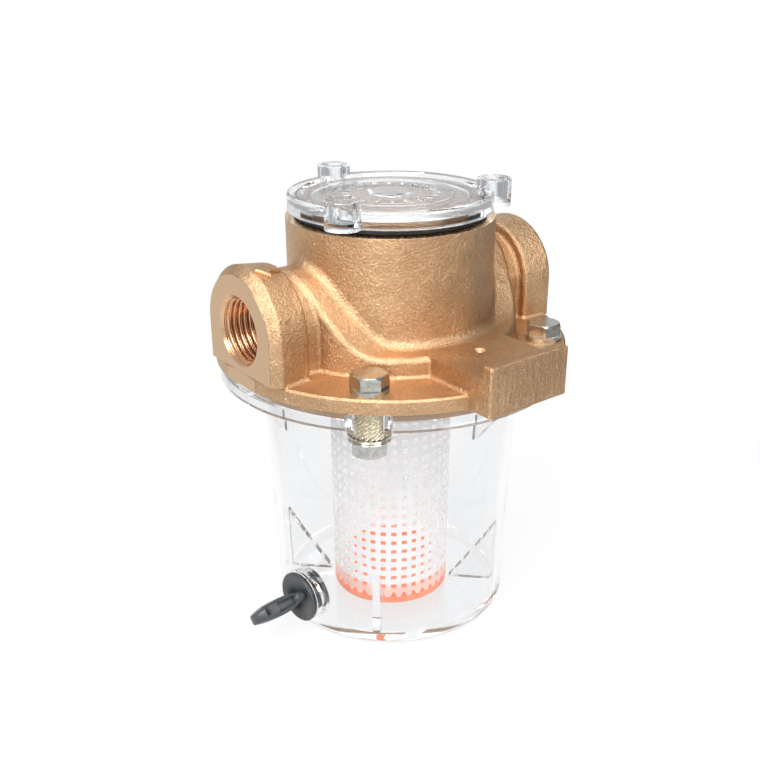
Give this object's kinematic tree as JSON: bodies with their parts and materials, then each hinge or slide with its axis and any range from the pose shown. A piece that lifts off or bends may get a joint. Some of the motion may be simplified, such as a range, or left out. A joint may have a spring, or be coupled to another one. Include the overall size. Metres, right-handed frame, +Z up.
{
  "type": "sea water strainer",
  "caption": "Cast bronze strainer head with two in-line threaded ports, a clear bolted bowl, a hanging perforated basket, a clear screw lid and a wing drain plug.",
  "frame": {"origin": "centre of the bowl's foot, on the surface it stands on", "axes": "+Z up along the bowl and lid axis; X along the port axis, inlet at +X and outlet at -X; mounting pad at -Y"},
  "size_m": [0.1185, 0.1218, 0.147],
  "materials": {
    "cast_bronze": "sand-cast bronze, machined at the port faces and rim",
    "clear_bowl": "clear moulded plastic",
    "clear_lid": "clear moulded plastic",
    "black_rubber": "smooth black rubber",
    "white_plastic": "translucent white plastic",
    "orange_plastic": "bright orange plastic",
    "dark_plastic": "dark grey moulded plastic",
    "steel": "bright stainless steel",
    "insert_brass": "pale knurled brass"
  },
  "bodies": {
    "housing": {"strainer_head": "cast_bronze", "bowl": "clear_bowl", "bowl_seal": "black_rubber", "basket": "white_plastic", "basket_cap": "orange_plastic", "bolt_front_left": "steel", "lock_washer_front_left": "steel", "insert_front_left": "insert_brass", "nut_front_left": "steel", "bolt_front_right": "steel", "lock_washer_front_right": "steel", "insert_front_right": "insert_brass", "nut_front_right": "steel", "bolt_back_right": "steel", "lock_washer_back_right": "steel", "insert_back_right": "insert_brass", "nut_back_right": "steel", "bolt_back_left": "steel", "lock_washer_back_left": "steel", "insert_back_left": "insert_brass", "nut_back_left": "steel"},
    "lid_seal": {"lid_seal": "black_rubber"},
    "lid": {"lid": "clear_lid"},
    "drain_seal": {"drain_seal": "black_rubber"},
    "drain_plug": {"drain_plug": "dark_plastic"}
  },
  "joints": [
    {"name": "lid_rise", "type": "slide", "parent": "housing", "child": "lid_seal", "axis": [0, 0, 1], "range_m": [0, 0.009]},
    {"name": "lid_turn", "type": "hinge", "parent": "lid_seal", "child": "lid", "pos_m": [0, 0, 0.1384], "axis": [0, 0, 1], "range_deg": [0, 1080]},
    {"name": "plug_travel", "type": "slide", "parent": "housing", "child": "drain_seal", "axis": [-0.9954, -0.0958, 0], "range_m": [0, 0.00535]},
    {"name": "plug_turn", "type": "hinge", "parent": "drain_seal", "child": "drain_plug", "pos_m": [-0.044, -0.00424, 0.0119], "axis": [-0.9954, -0.0958, 0], "range_deg": [0, 1440]}
  ],
  "couplings": [
    {"joint": "lid_turn", "follows": "lid_rise", "rad_per_m": 2094.4},
    {"joint": "plug_turn", "follows": "plug_travel", "rad_per_m": 4699.5}
  ]
}
